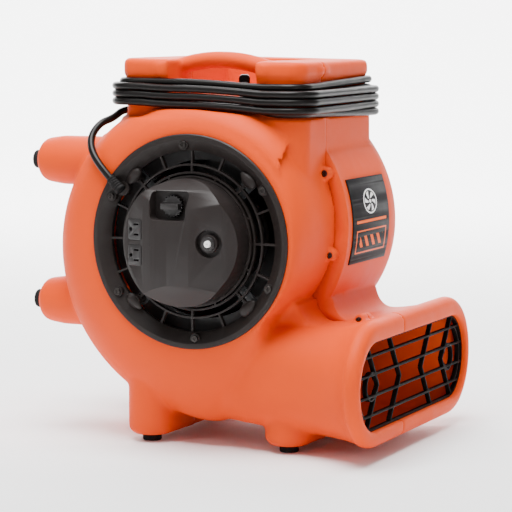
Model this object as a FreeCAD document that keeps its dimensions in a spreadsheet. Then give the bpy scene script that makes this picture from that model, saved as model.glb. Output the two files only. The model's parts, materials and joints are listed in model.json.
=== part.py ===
import FreeCAD, Part
import Sketcher
import math
import os
from types import SimpleNamespace
from FreeCAD import Placement, Rotation, Vector

# Portable centrifugal air mover (floor dryer).
# Frame: X runs from the back feet to the air outlet, Y across the machine with the motor side
# at -Y, Z up from the floor. Millimetres. The fan turns about an axis along Y.

DIMENSIONS = [
    # alias, value, what it is
    ("fan_x", 7.5, "fan axis, along X"),
    ("fan_z", 262, "fan axis above the floor"),
    ("body_half", 155, "half width of the scroll"),
    ("parting_y", -47, "plane where the two shells meet"),
    ("wall", 4, "shell wall"),
    ("near_start", 150, "near scroll radius at the outlet side"),
    ("near_growth", 0.30, "near scroll growth per degree"),
    ("far_start", 168, "far scroll radius at the outlet side"),
    ("far_growth", 0.23, "far scroll growth per degree"),
    ("side_round", 55, "depth of the rounded side of the scroll"),
    ("rim_flat", 137, "radius of the flat rim round each intake"),
    ("lip_radius", 128, "inside radius of the intake lip"),
    ("duct_top", 158, "top of the outlet duct"),
    ("throat_round", 28, "radius between the scroll and the duct"),
    ("flange_back", 234, "rear of the outlet flange"),
    ("flange_front", 252.5, "front of the outlet flange"),
    ("flange_half", 205, "half width of the outlet flange"),
    ("flange_round", 78, "corner radius of the outlet flange"),
    ("flange_mid", 95.5, "middle height of the outlet flange"),
    ("outlet_half", 189, "half width of the outlet opening"),
    ("outlet_round", 55, "corner radius of the outlet opening"),
    ("head_x", 15.5, "middle of the head, along X"),
    ("head_length", 253, "head along X"),
    ("head_width", 238, "head along Y"),
    ("head_top", 484, "top of the head at its right end"),
    ("head_slope", 4, "rise of the head's top toward its left end"),
    ("head_corner", 24, "vertical corner radius of the head"),
    ("groove_low", 414, "bottom of the cord groove"),
    ("groove_high", 465, "top of the cord groove"),
    ("groove_depth", 4, "depth of the cord groove"),
    ("handle_top", 496.5, "top of the handle"),
    ("handle_tall", 22, "height of the handle's section"),
    ("handle_deep", 26, "depth of the handle's section"),
    ("handle_lean", 2, "lean of the handle, degrees"),
    ("handle_y", -70, "middle of the handle, along Y"),
    ("pocket_left", -41, "left side of the hand pocket"),
    ("pocket_right", 79, "right side of the hand pocket"),
    ("pocket_floor", 438, "floor of the hand pocket"),
    ("pocket_back", 62, "back wall of the hand pocket"),
    ("bracket_y", -134, "rear face of the motor bracket"),
    ("leg_spacing", 192, "distance between the two legs"),
    ("leg_width", 60, "leg along X"),
    ("leg_mid", 27.5, "middle between the legs, along X"),
    ("leg_bottom", 9, "underside of the legs"),
    ("foot_y", 110, "rubber feet from the mid-plane"),
    ("foot_radius", 12, "rubber foot radius"),
    ("foot_height", 9, "rubber foot height"),
    ("back_y", 80, "back feet from the mid-plane"),
    ("back_high", 354, "upper back feet above the floor"),
    ("back_low", 170, "lower back feet above the floor"),
    ("back_face", -244.5, "end face of the back bosses"),
    ("back_foot_high", 8, "thickness of a back foot"),
    ("panel_radius", 134, "outer radius of an intake panel"),
    ("panel_thick", 3.5, "thickness of an intake panel's rim"),
    ("screw_circle", 121, "radius of the panel screws' circle"),
    ("seat_front", 155.5, "front of the screw seats, from the mid-plane"),
    ("seat_rear", 148, "rear of the screw seats, from the mid-plane"),
    ("dish_radius", 113, "radius where the panel's dish ends"),
    ("dish_depth", 11, "depth of the panel's dish"),
    ("ring_outer", 95.6, "outer ring of the intake grille"),
    ("ring_inner", 85.6, "inner ring of the intake grille"),
    ("rib_width", 2.6, "width of a grille rib"),
    ("rib_depth", 6, "depth of a grille rib"),
    ("cover_radius", 79, "outer radius of the motor cover"),
    ("cover_front", -198, "front of the motor cover"),
    ("cover_back", -148.5, "back edge of the motor cover"),
    ("cover_wall", 3, "wall of the motor cover"),
    ("motor_radius", 60, "outer radius of the motor case"),
    ("stator_bore", 36, "inside radius of the stator"),
    ("air_gap", 0.5, "gap between the stator and the rotor"),
    ("shaft_radius", 6, "motor shaft radius"),
    ("bearing_radius", 16, "bearing outer radius"),
    ("running_gap", 0.03, "radial clearance in the bearings"),
    ("wheel_radius", 126, "fan wheel outer radius"),
    ("wheel_eye", 102, "fan wheel inner radius"),
    ("wheel_near", -112, "near end of the fan wheel"),
    ("wheel_far", 107, "far end of the fan wheel"),
    ("blade_count", 38, "blades on the fan wheel"),
    ("blade_thick", 2.2, "blade thickness"),
    ("hub_radius", 14, "hub outer radius"),
    ("knob_radius", 14, "speed knob radius"),
    ("knob_height", 13, "speed knob height"),
    ("button_radius", 4.2, "reset button radius"),
    ("button_travel", 2.5, "reset button travel"),
    ("cord_diameter", 9.5, "power cord diameter"),
    ("coil_thick", 21, "coil thickness, two layers of cord"),
    ("coil_low", 414.5, "bottom of the coil"),
    ("coil_high", 464.6, "top of the coil"),
    ("label_near", -30, "near edge of the label"),
    ("label_far", 92, "far edge of the label"),
    ("label_low", -12, "lower edge of the label, degrees"),
    ("label_high", 25, "upper edge of the label, degrees"),
]

doc = FreeCAD.newDocument("AirMover")
sheet = doc.addObject("Spreadsheet::Sheet", "Dimensions")
for row, (alias, value, note) in enumerate(DIMENSIONS, start=1):
    sheet.set(f"A{row}", note)
    sheet.set(f"B{row}", str(value))
    sheet.setAlias(f"B{row}", alias)
doc.recompute()
d = SimpleNamespace(**{alias: float(sheet.get(alias)) for alias, _, _ in DIMENSIONS})

ALONG_X = Vector(1, 0, 0)
ALONG_Y = Vector(0, 1, 0)
ALONG_Z = Vector(0, 0, 1)
TO_Y = Rotation(ALONG_X, -90)          # turns a primitive's own Z to +Y
NODES = []


def on_axis(radius, angle, y=0.0):
    """A point at a radius and an angle (degrees) round the fan axis."""
    a = math.radians(angle)
    return Vector(d.fan_x + radius * math.cos(a), y, d.fan_z + radius * math.sin(a))


def cylinder_y(radius, y0, y1, x=None, z=None):
    """A cylinder along Y; on the fan axis unless x and z are given."""
    base = Vector(d.fan_x if x is None else x, y0, d.fan_z if z is None else z)
    return Part.makeCylinder(radius, y1 - y0, base, ALONG_Y)


def tube_y(outer, inner, y0, y1, x=None, z=None):
    return cylinder_y(outer, y0, y1, x, z).cut(cylinder_y(inner, y0 - 1, y1 + 1, x, z))


def box_between(low, high):
    size = Vector(*high) - Vector(*low)
    return Part.makeBox(size.x, size.y, size.z, Vector(*low))


def fuse_all(shapes):
    return shapes[0].fuse(shapes[1:]).removeSplitter()


def revolve_y(points):
    """Turns a closed (radius, y) outline about the fan axis."""
    corners = [Vector(d.fan_x + r, y, d.fan_z) for r, y in points]
    face = Part.Face(Part.makePolygon(corners + corners[:1]))
    return face.revolve(Vector(d.fan_x, 0, d.fan_z), ALONG_Y, 360)


def add_feature(label, shape, place=Placement()):
    """A sub-part whose shape is worked out from the sheet's values."""
    feature = doc.addObject("Part::Feature", label)
    feature.Shape = shape
    feature.Label = label
    feature.Placement = place
    NODES.append(feature)
    return feature


def add_primitive(kind, name, sizes, placement):
    """A Part primitive whose sizes are expressions on the sheet."""
    primitive = doc.addObject(kind, name)
    for prop, expression in sizes.items():
        primitive.setExpression(prop, expression)
    primitive.Placement = placement
    return primitive


def add_cut(label, base, tool):
    cut = doc.addObject("Part::Cut", label)
    cut.Base = base
    cut.Tool = tool
    cut.Label = label
    NODES.append(cut)
    return cut


# ---- Shells ---------------------------------------------------------------------------------

THROAT_ANGLE = -40
SCROLL_END = 280
SECTION_STEP = 15


def spiral(angle, start, growth):
    """Scroll radius: it grows evenly round the fan, then drops back inside the duct."""
    if angle <= SCROLL_END:
        return start + growth * angle
    share = (angle - SCROLL_END) / (360 + THROAT_ANGLE - SCROLL_END)
    full = start + growth * SCROLL_END
    return full + share * (start + growth * THROAT_ANGLE - full)


def scroll_wire(y, start, growth, rim, fullness):
    """A closed section of the scroll, between the rim circle (0) and the full spiral (1)."""
    points = []
    for angle in range(THROAT_ANGLE, 360 + THROAT_ANGLE, SECTION_STEP):
        radius = rim + fullness * (spiral(angle, start, growth) - rim)
        points.append(on_axis(radius, angle, y))
    curve = Part.BSplineCurve()
    curve.interpolate(points, PeriodicFlag=True)
    return Part.Wire([curve.toShape()])


def below_ledge(shape, inset):
    """Keeps what lies below the flat ledge under the cord groove."""
    return shape.common(box_between((-400, -300, 0), (400, 300, d.groove_low - inset)))


def scroll(y_part, y_side, start, growth, inset):
    """One side of the scroll, from the parting plane to its rounded side."""
    sign = 1 if y_side > y_part else -1
    face = y_side - sign * inset
    shoulder = y_side - sign * d.side_round
    rim = d.rim_flat - inset
    wires = []
    for share in (0, 0.33, 0.66, 1):
        y = y_part + share * (shoulder - y_part)
        wires.append(scroll_wire(y, start - inset, growth, rim, 1))
    for turn in (18, 36, 54, 72, 90):
        a = math.radians(turn)
        y = shoulder + (face - shoulder) * math.sin(a)
        wires.append(scroll_wire(y, start - inset, growth, rim, math.cos(a)))
    return below_ledge(Part.makeLoft(wires, True), inset)


def rounded_section(x, half, low, high, corner):
    """A closed rounded rectangle across the duct at x."""
    r = min(corner, half - 1, (high - low) / 2 - 0.5)
    y0, y1 = -half, half
    k = r * (1 - math.sqrt(0.5))

    def at(y, z):
        return Vector(x, y, z)

    edges = [
        Part.makeLine(at(y0 + r, low), at(y1 - r, low)),
        Part.Arc(at(y1 - r, low), at(y1 - k, low + k), at(y1, low + r)).toShape(),
        Part.makeLine(at(y1, low + r), at(y1, high - r)),
        Part.Arc(at(y1, high - r), at(y1 - k, high - k), at(y1 - r, high)).toShape(),
        Part.makeLine(at(y1 - r, high), at(y0 + r, high)),
        Part.Arc(at(y0 + r, high), at(y0 + k, high - k), at(y0, high - r)).toShape(),
        Part.makeLine(at(y0, high - r), at(y0, low + r)),
        Part.Arc(at(y0, low + r), at(y0 + k, low + k), at(y0 + r, low)).toShape(),
    ]
    return Part.Wire(edges)


def duct(inset):
    """The outlet duct, flaring into the flange."""
    flange_low = d.flange_mid - d.flange_round
    flange_high = d.flange_mid + d.flange_round
    sections = [
        (0, 128, 36, 140, 48),
        (60, 144, 31, d.duct_top - 4, 46),
        (120, 151, 27, d.duct_top, 48),
        (185, 164, 22, d.duct_top + 2, 60),
        (d.flange_back, d.flange_half - 3, flange_low + 1, flange_high - 1, d.flange_round),
    ]
    wires = [rounded_section(x, half - inset, low + inset, high - inset, corner - inset)
             for x, half, low, high, corner in sections]
    return Part.makeLoft(wires, True)


def flange():
    """The thick rounded lip round the outlet."""
    low = d.flange_mid - d.flange_round
    high = d.flange_mid + d.flange_round
    outline = rounded_section(d.flange_back, d.flange_half, low, high, d.flange_round - 1)
    depth = d.flange_front - d.flange_back
    block = Part.Face(outline).extrude(Vector(depth, 0, 0))
    front = [e for e in block.Edges if e.BoundBox.XMin > d.flange_front - 0.1]
    return block.makeFillet(12, front)


def outlet_hole(x0, x1, grow=0.0):
    low = d.flange_mid - 2 - d.outlet_round - grow
    high = d.flange_mid - 2 + d.outlet_round + grow
    outline = rounded_section(x0, d.outlet_half + grow, low, high, d.outlet_round - 1 + grow)
    return Part.Face(outline).extrude(Vector(x1 - x0, 0, 0))


def throat_filler(y0, y1, start, growth, inset):
    """The concave run between the scroll and the top of the duct."""
    r = d.throat_round + inset
    top = d.duct_top - inset
    reach = start - inset + growth * THROAT_ANGLE / 2 + r
    drop = d.fan_z - (top + r)
    centre_x = d.fan_x + math.sqrt(reach ** 2 - drop ** 2)
    block = box_between((d.fan_x + 90, y0, top - 20), (centre_x, y1, top + r))
    return block.cut(cylinder_y(r, y0 - 1, y1 + 1, centre_x, top + r))


def head_block(grow, low, high):
    """The upright block of the neck or head, with rounded vertical corners."""
    half_l = d.head_length / 2 + grow
    half_w = d.head_width / 2 + grow
    block = box_between((d.head_x - half_l, -half_w, low), (d.head_x + half_l, half_w, high))
    upright = [e for e in block.Edges if e.BoundBox.ZLength > high - low - 0.1]
    return block.makeFillet(d.head_corner + grow, upright)


def head_posts():
    """Rounded posts beside the hand pocket, on both faces of the head."""
    posts = []
    for x in (d.pocket_left - 12, d.pocket_right + 12):
        for y in (-d.head_width / 2 + 10, d.head_width / 2 - 10):
            post = Part.makeCylinder(13, d.head_top - d.groove_high - 2,
                                     Vector(x, y, d.groove_high), ALONG_Z)
            posts.append(post)
    return posts


def above_head():
    """The space above the head's gently sloping top."""
    right, left = d.head_x + d.head_length / 2, d.head_x - d.head_length / 2
    slope = d.head_slope / d.head_length
    outline = [(right + 20, d.head_top - 20 * slope), (left - 20, d.head_top + d.head_slope + 20 * slope),
               (left - 20, d.head_top + 60), (right + 20, d.head_top + 60)]
    points = [Vector(x, -200, z) for x, z in outline]
    return Part.Face(Part.makePolygon(points + points[:1])).extrude(Vector(0, 400, 0))


def neck_and_head():
    neck = head_block(3, d.fan_z + 40, d.groove_low)
    core = head_block(-d.groove_depth, d.groove_low, d.groove_high)
    head = head_block(0, d.groove_high, d.head_top + 10).cut(above_head())
    top_edges = [e for e in head.Edges if e.BoundBox.ZMin > d.head_top - 1]
    head = head.makeFillet(6, top_edges)
    solid = fuse_all([neck, core, head] + head_posts())
    pocket = box_between((d.pocket_left, -d.body_half, d.pocket_floor),
                         (d.pocket_right, d.pocket_back, d.head_top + 20))
    low_edges = [e for e in pocket.Edges if abs(e.BoundBox.YLength - pocket.BoundBox.YLength) < 0.1
                 and e.BoundBox.ZMax < d.pocket_floor + 1]
    return solid.cut(pocket.makeFillet(10, low_edges))


def handle():
    """An arched grip with an oval section, from one side of the pocket to the other."""
    rise = 12
    reach = (d.pocket_right - d.pocket_left) / 2 + 8
    arch = (reach ** 2 + rise ** 2) / (2 * rise)
    half_angle = math.degrees(math.asin(reach / arch))
    middle = Vector(d.pocket_left + reach - 8, d.handle_y, d.handle_top - d.handle_tall / 2)
    oval = Part.Ellipse(middle, d.handle_deep / 2, d.handle_tall / 2)
    section = Part.Wire([oval.toShape()])
    section.rotate(middle, ALONG_X, 90)
    section.rotate(middle, ALONG_Z, 90)
    centre = middle - Vector(0, 0, arch)
    section.rotate(centre, ALONG_Y, -half_angle)
    arm = Part.Face(section).revolve(centre, ALONG_Y, 2 * half_angle)
    return arm.rotate(middle, ALONG_Y, d.handle_lean)


def leg(x):
    """One cross beam with round ends and chamfered bottom corners."""
    half = d.leg_width / 2
    reach = d.foot_y
    top = d.fan_z - 130 if x < d.leg_mid else d.duct_top - 60
    beam = box_between((x - half, -reach, d.leg_bottom), (x + half, reach, top))
    ends = [Part.makeCylinder(half, top - d.leg_bottom, Vector(x, side * reach, d.leg_bottom),
                              ALONG_Z) for side in (-1, 1)]
    solid = fuse_all([beam] + ends)
    bottom = [e for e in solid.Edges if e.BoundBox.ZMax < d.leg_bottom + 0.1]
    return solid.makeChamfer(7, bottom)


def leg_hollows(keep, masks):
    """Space inside the legs, below the scroll and the duct."""
    hollows = []
    for side in (-1, 1):
        x = d.leg_mid + side * d.leg_spacing / 2
        half = d.leg_width / 2 - d.wall
        space = box_between((x - half, -d.foot_y - 12, d.leg_bottom + 2 * d.wall),
                            (x + half, d.foot_y + 12, d.fan_z - 140)).common(keep)
        for mask in masks:
            space = space.cut(mask)
        hollows.append(space)
    return hollows


def back_boss(y, z):
    """One boss for standing the machine on its back, with a tapered end."""
    outline = [(0, 0), (13.5, 0), (26, 8), (29, 14), (32, 36), (32, 120), (0, 120)]
    corners = [Vector(d.back_face + x, y, z + r) for r, x in outline]
    face = Part.Face(Part.makePolygon(corners + corners[:1]))
    return face.revolve(Vector(d.back_face, y, z), ALONG_X, 360)


def shell_screw_places():
    """Where the shell screws cross the parting plane: (x, z) pairs."""
    head_reach = d.head_length / 2 - 6
    places = [(d.head_x + head_reach, 473), (d.head_x - head_reach, 473), (149, 345), (156, 243),
              (197, 163), (d.leg_mid, 31)]
    for angle in (146, 180, 232):
        p = on_axis(d.near_start + d.near_growth * angle + 1, angle)
        places.append((p.x, p.z))
    return places


def outer_parts(y0, y1):
    """Solids shared by both shells, kept between two planes across the machine."""
    parts = [duct(0), flange(), neck_and_head(), handle()]
    parts += [leg(d.leg_mid - d.leg_spacing / 2), leg(d.leg_mid + d.leg_spacing / 2)]
    parts += [back_boss(side * d.back_y, z) for side in (-1, 1) for z in (d.back_high, d.back_low)]
    keep = box_between((-400, y0, -10), (400, y1, 600))
    kept = []
    for part in parts:
        piece = part.common(keep)
        if piece.Solids:
            kept.append(piece)
    return kept


def head_cavity(y0, y1):
    """Hollow of the neck and the two head blocks, open to the scroll below."""
    w = d.wall
    neck = head_block(3 - w, d.fan_z + 40, d.pocket_floor - w)
    left = box_between((d.head_x - d.head_length / 2 + w + 6, -d.head_width / 2 + w + 6,
                        d.pocket_floor - 20),
                       (d.pocket_left - w, d.head_width / 2 - w - 6, d.head_top - w))
    right = box_between((d.pocket_right + w, -d.head_width / 2 + w + 6, d.pocket_floor - 20),
                        (d.head_x + d.head_length / 2 - w - 6, d.head_width / 2 - w - 6,
                         d.head_top - w))
    keep = box_between((-400, y0, 0), (400, y1, 600))
    neck = neck.common(head_block(-d.groove_depth - w, 200, 600))
    return [s.common(keep) for s in (neck, left, right)]


def shell(y_part, y_side, start, growth):
    """One moulded half of the housing: outer solids, less the air passage, plus the intake lip."""
    sign = 1 if y_side > y_part else -1
    w = d.wall
    y_far = sign * 400
    y0, y1 = min(y_part, y_far), max(y_part, y_far)
    filler_side = y_side - sign * 48
    filler = throat_filler(min(y_part, filler_side), max(y_part, filler_side), start, growth, 0)
    outer = [scroll(y_part, y_side, start, growth, 0), filler] + outer_parts(y0, y1)
    body = fuse_all(outer)
    keep = box_between((-400, y0, 0), (400, y1, 600))
    if sign > 0:
        step = Part.Face(scroll_wire(y_part - 1, d.near_start - w, d.near_growth, 0, 1))
        passage = [scroll(y_part + w, y_side, start, growth, w),
                   below_ledge(step.extrude(Vector(0, w + 2, 0)), w)]
    else:
        passage = [scroll(y_part + 1, y_side, start, growth, w)]
    mouth = outlet_hole(d.flange_back - 8, d.flange_front + 1)
    passage += [duct(w).common(keep), mouth.common(keep)]
    passage += head_cavity(y0, y1)
    passage += leg_hollows(keep, [scroll(y_part, y_side, start, growth, 0), duct(0)])
    for piece in passage:
        body = body.cut(piece)
    near_side = sorted((y_side, y_side - sign * 34))
    rim_side = sorted((y_side, y_side - sign * w))
    lip = tube_y(d.lip_radius + w, d.lip_radius, *near_side)
    rim = tube_y(d.rim_flat - 2, d.lip_radius, *rim_side)
    body = fuse_all([body, lip, rim])
    eye = sorted((y_side + sign * 2, y_side - sign * 40))
    return body.cut(cylinder_y(d.lip_radius, *eye))


def shell_screw(x, z):
    """A screw along Y through a boss on both shells."""
    head = cylinder_y(4.5, d.parting_y - 16, d.parting_y - 13, x, z)
    shank = cylinder_y(2.4, d.parting_y - 13, d.parting_y + 14, x, z)
    return head.fuse(shank)


def fastened(body, side):
    """Adds the shell screws' bosses to a shell, and their holes."""
    for x, z in shell_screw_places():
        y_end = d.parting_y + side * 16
        y0, y1 = min(d.parting_y, y_end), max(d.parting_y, y_end)
        body = body.fuse(cylinder_y(8, y0, y1, x, z))
    for x, z in shell_screw_places():
        if side < 0:
            body = body.cut(cylinder_y(4.5, d.parting_y - 17, d.parting_y - 13, x, z))
            body = body.cut(cylinder_y(2.4, d.parting_y - 14, d.parting_y, x, z))
        else:
            body = body.cut(cylinder_y(2.4, d.parting_y, d.parting_y + 14, x, z))
    return body


def label_plate():
    """A thin curved plate that follows the far scroll beside the parting step."""
    outer = []
    inner = []
    for angle in range(int(d.label_low), int(d.label_high) + 1, 1):
        radius = spiral(angle, d.far_start, d.far_growth)
        outer.append(on_axis(radius + 0.8, angle, d.label_near))
        inner.append(on_axis(radius - 1.2, angle, d.label_near))
    top = Part.BSplineCurve()
    top.interpolate(outer)
    bottom = Part.BSplineCurve()
    bottom.interpolate(inner)
    ends = [Part.makeLine(outer[0], inner[0]), Part.makeLine(outer[-1], inner[-1])]
    wire = Part.Wire(Part.sortEdges([top.toShape(), bottom.toShape()] + ends)[0])
    return Part.Face(wire).extrude(Vector(0, d.label_far - d.label_near, 0))


def rubber_foot(base, outward, height):
    """A rubber foot with a rounded outer edge; its screw sits in a counterbore."""
    foot = Part.makeCylinder(d.foot_radius, height, base, outward)
    tip = base + outward * height
    edge = [e for e in foot.Edges if e.Curve.TypeId == "Part::GeomCircle"
            and (e.Curve.Center - tip).Length < 0.1]
    foot = foot.makeFillet(2, edge)
    bore = Part.makeCylinder(4.5, height - 3, tip, outward * -1)
    hole = Part.makeCylinder(2.1, height, tip, outward * -1)
    return foot.cut(bore).cut(hole)


def foot_screw(base, outward):
    head = Part.makeCylinder(4.2, 2.5, base + outward * 3, outward)
    shank = Part.makeCylinder(2.1, 13, base + outward * 3, outward * -1)
    return head.fuse(shank)


def bottom_feet_places():
    return [(Vector(d.leg_mid + i * d.leg_spacing / 2, j * d.foot_y, d.leg_bottom), ALONG_Z * -1)
            for i in (-1, 1) for j in (-1, 1)]


def back_feet_places():
    return [(Vector(d.back_face, j * d.back_y, z), ALONG_X * -1)
            for j in (-1, 1) for z in (d.back_high, d.back_low)]


def drill_feet(body):
    for base, outward in bottom_feet_places() + back_feet_places():
        body = body.cut(Part.makeCylinder(2.1, 10, base, outward * -1))
    return body


# ---- Intake panels --------------------------------------------------------------------------

def grille_ring(radius, y0, y1):
    half = d.rib_width / 2
    return tube_y(radius + half, radius - half, y0, y1)


def radial_bar(r0, r1, angle, width, y0, y1):
    bar = Part.makeBox(r1 - r0, y1 - y0, width, Vector(d.fan_x + r0, y0, d.fan_z - width / 2))
    bar.rotate(Vector(d.fan_x, 0, d.fan_z), ALONG_Y, -angle)
    return bar


def panel_screw_angles():
    return [93.7 + 60 * i for i in range(6)]


def grille_bars(y0, y1, inner_radius):
    """Rings and ribs: eight main ribs, and short stubs half way between them."""
    bars = [grille_ring(d.ring_outer, y0, y1), grille_ring(d.ring_inner, y0, y1)]
    edge = d.dish_radius + 1
    for i in range(8):
        bars.append(radial_bar(d.ring_inner, edge, 45 * i, d.rib_width, y0, y1))
        bars.append(radial_bar(d.ring_outer, edge, 45 * i + 22.5, d.rib_width, y0, y1))
        bars.append(radial_bar(inner_radius, d.ring_inner, 45 * i + 22.5, d.rib_width, y0, y1))
    return bars


def panel_blank(inner_radius):
    """An intake panel on the near side: dished rim, grille and a ring round its middle."""
    rear = -d.body_half
    front = rear - d.panel_thick
    deep = front + d.dish_depth
    rim = revolve_y([
        (d.panel_radius, rear), (d.panel_radius, front + 1.2), (d.panel_radius - 1.2, front),
        (d.panel_radius - 7, front), (d.dish_radius, deep), (d.dish_radius, deep + d.rib_depth),
        (d.dish_radius + 2.5, deep + d.rib_depth), (d.dish_radius + 2.5, deep + 1.5),
        (d.lip_radius - 1, rear)])
    parts = [rim] + grille_bars(deep, deep + d.rib_depth, inner_radius)
    for i in range(4):
        angle = 45 + 90 * i
        lump = on_axis(111, angle)
        parts.append(cylinder_y(7.4, front + 5, deep + 2, lump.x, lump.z))
        post = on_axis(108, angle)
        parts.append(cylinder_y(5.5, deep, d.bracket_y, post.x, post.z))
    for angle in panel_screw_angles():
        p = on_axis(d.screw_circle, angle)
        parts.append(cylinder_y(6.5, -d.seat_front, -d.seat_rear, p.x, p.z))
    body = fuse_all(parts)
    for angle in panel_screw_angles():
        p = on_axis(d.screw_circle, angle)
        body = body.cut(cylinder_y(4.8, front - 5, -d.seat_front, p.x, p.z))
        body = body.cut(cylinder_y(2.1, front - 5, 1 - d.seat_rear, p.x, p.z))
    return body


def intake_panel():
    rear = -d.body_half
    deep = rear - d.panel_thick + d.dish_depth
    collar = tube_y(d.cover_radius + 3, d.cover_radius, deep - 2, deep + d.rib_depth + 2)
    start, way = cord_start()
    saddle = start - way * (GLAND_LENGTH - 3)
    body = fuse_all([panel_blank(d.cover_radius + 1), collar,
                     cylinder_y(9, rear + 1, deep + 2, saddle.x, saddle.z)])
    notch = Part.makeCylinder(d.cord_diameter / 2 + 0.4, 14, start, way)
    return body.cut(notch).cut(cord_gland())


def far_panel():
    """The plain intake panel on the far side, with a closed middle."""
    rear = -d.body_half
    deep = rear - d.panel_thick + d.dish_depth
    middle = cylinder_y(62, deep, deep + 4)
    body = fuse_all([panel_blank(60), middle, grille_ring(73, deep, deep + d.rib_depth)])
    return body.mirror(Vector(0, 0, 0), ALONG_Y)


def panel_screws(side):
    """Six pan-head screws round one intake panel."""
    screws = []
    for angle in panel_screw_angles():
        seat = on_axis(d.screw_circle, angle, side * d.seat_front)
        head = Part.makeCylinder(4.3, 2.6, seat, ALONG_Y * side)
        shank = Part.makeCylinder(2.1, 16, seat, ALONG_Y * -side)
        screws.append(head.fuse(shank))
    return screws


def add_screw_posts(body, side):
    """Posts inside a shell's intake lip, under the panel's screw seats and clear of its skirt."""
    for angle in panel_screw_angles():
        face = on_axis(d.screw_circle, angle, side * d.seat_rear)
        body = body.fuse(Part.makeCylinder(8, 14, face, ALONG_Y * -side))
    for reach, depth in ((5.6, 2.1), (2.8, 6.8)):
        skirt = sorted((side * (d.seat_rear + 0.5), side * (d.seat_rear - depth)))
        body = body.cut(cylinder_y(d.dish_radius + reach, *skirt))
    for angle in panel_screw_angles():
        face = on_axis(d.screw_circle, angle, side * d.seat_rear)
        body = body.cut(Part.makeCylinder(2.1, 16 - d.seat_front + d.seat_rear, face, ALONG_Y * -side))
    return body


# ---- Motor cover and its controls -----------------------------------------------------------

def cover_block(inset):
    """Outer form of the motor cover: a drum with a curved face and sloping top and bottom."""
    r = d.cover_radius - inset
    front = d.cover_front + inset
    drum = cylinder_y(r, front - 2, d.cover_back + (1 if inset else 0))
    x = d.fan_x

    def at(u, y):
        return Vector(x + u, y, d.fan_z - 100)

    outline = [
        Part.makeLine(at(-r - 1, d.cover_back + 2), at(-r - 1, front + 18)),
        Part.makeLine(at(-r - 1, front + 18), at(-46, front + 9)),
        Part.Arc(at(-46, front + 9), at(-16, front + 1.5), at(20, front)).toShape(),
        Part.makeLine(at(20, front), at(62, front + 5)),
        Part.makeLine(at(62, front + 5), at(r + 1, front + 16)),
        Part.makeLine(at(r + 1, front + 16), at(r + 1, d.cover_back + 2)),
        Part.makeLine(at(r + 1, d.cover_back + 2), at(-r - 1, d.cover_back + 2)),
    ]
    plan = Part.Face(Part.Wire(outline)).extrude(Vector(0, 0, 200))
    side = [Vector(x - 100, d.cover_back + 2, d.fan_z - 82), Vector(x - 100, front + 22, d.fan_z - 82),
            Vector(x - 100, front, d.fan_z - 50), Vector(x - 100, front, d.fan_z + 44 - inset),
            Vector(x - 100, front + 13, d.fan_z + 64 - inset),
            Vector(x - 100, front + 36, d.fan_z + 80), Vector(x - 100, d.cover_back + 2, d.fan_z + 80)]
    profile = Part.Face(Part.makePolygon(side + side[:1])).extrude(Vector(200, 0, 0))
    return drum.common(plan).common(profile)


def knob_pocket(grow=0.0):
    x, z = d.fan_x - 10, d.fan_z + 46
    low = (x - 26 - grow, d.cover_front - 3, z - 17 - grow)
    high = (x + 26 + grow, d.cover_front + 22 + grow, z + 19 + grow)
    pocket = box_between(low, high)
    upright = [e for e in pocket.Edges if e.BoundBox.YLength > 20]
    return pocket.makeFillet(6, upright)


def breaker_place():
    return d.fan_x + 46, d.fan_z + 3


def motor_cover():
    body = cover_block(0).cut(cover_block(d.cover_wall))
    bx, bz = breaker_place()
    tray = knob_pocket(2.5).common(cover_block(0.2))
    well = cylinder_y(20, d.cover_front, d.cover_front + 14, bx, bz).common(cover_block(0.2))
    body = body.fuse([tray, well])
    body = body.cut(knob_pocket())
    hollow = cylinder_y(17, d.cover_front - 4, d.cover_front + 10, bx, bz)
    core = cylinder_y(11, d.cover_front + 3, d.cover_front + 12, bx, bz)
    body = body.cut(hollow).fuse(core).removeSplitter()
    body = body.cut(cylinder_y(6.2, d.cover_front - 4, d.cover_front + 20, bx, bz))
    body = body.cut(cylinder_y(3.6, d.cover_front, d.cover_front + 30, d.fan_x - 10, d.fan_z + 46))
    for z in outlet_heights():
        frame, place = receptacle_block(z, -6, 24)
        frame.Placement = place
        body = body.cut(frame)
    return body


def outlet_heights():
    return (d.fan_z + 16, d.fan_z - 16)


def receptacle_block(z, y0, y1):
    """The body of one receptacle, square to the cover's left facet."""
    block = Part.makeBox(22, y1 - y0, 26, Vector(-11, y0, -13))
    block = block.makeFillet(3, [e for e in block.Edges if e.BoundBox.YLength > y1 - y0 - 0.1])
    return block, Placement(Vector(d.fan_x - 60, d.cover_front + 13.2, z), Rotation(ALONG_Z, -15.5))


def receptacle(z):
    """One grounded receptacle: a block with two slots and a round ground hole."""
    block, place = receptacle_block(z, -1, 24)
    for side in (-1, 1):
        block = block.cut(Part.makeBox(8, 12, 1.9, Vector(-1.5, -2, side * 6.35 - 0.95)))
    block = block.cut(Part.makeCylinder(2.5, 12, Vector(-6.5, -2, 0), ALONG_Y))
    return block, place


# ---- Fan wheel ------------------------------------------------------------------------------

def blade_face(y):
    """A forward-curved blade: two arcs a blade's thickness apart, closed at the ends."""
    r0, r1 = d.wheel_eye, d.wheel_radius - 1
    half = d.blade_thick / 2

    def at(radius, angle):
        return on_axis(radius, angle, y)

    lean = math.degrees(half / r0)
    outer = [at(r0, lean), at((r0 + r1) / 2, lean + 1.0), at(r1, lean + 6.5)]
    inner = [at(r0, -lean), at((r0 + r1) / 2, 1.0 - lean), at(r1, 6.5 - lean)]
    edges = [Part.Arc(*outer).toShape(), Part.makeLine(outer[2], inner[2]),
             Part.Arc(*reversed(inner)).toShape(), Part.makeLine(inner[0], outer[0])]
    return Part.Face(Part.Wire(edges))


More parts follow.
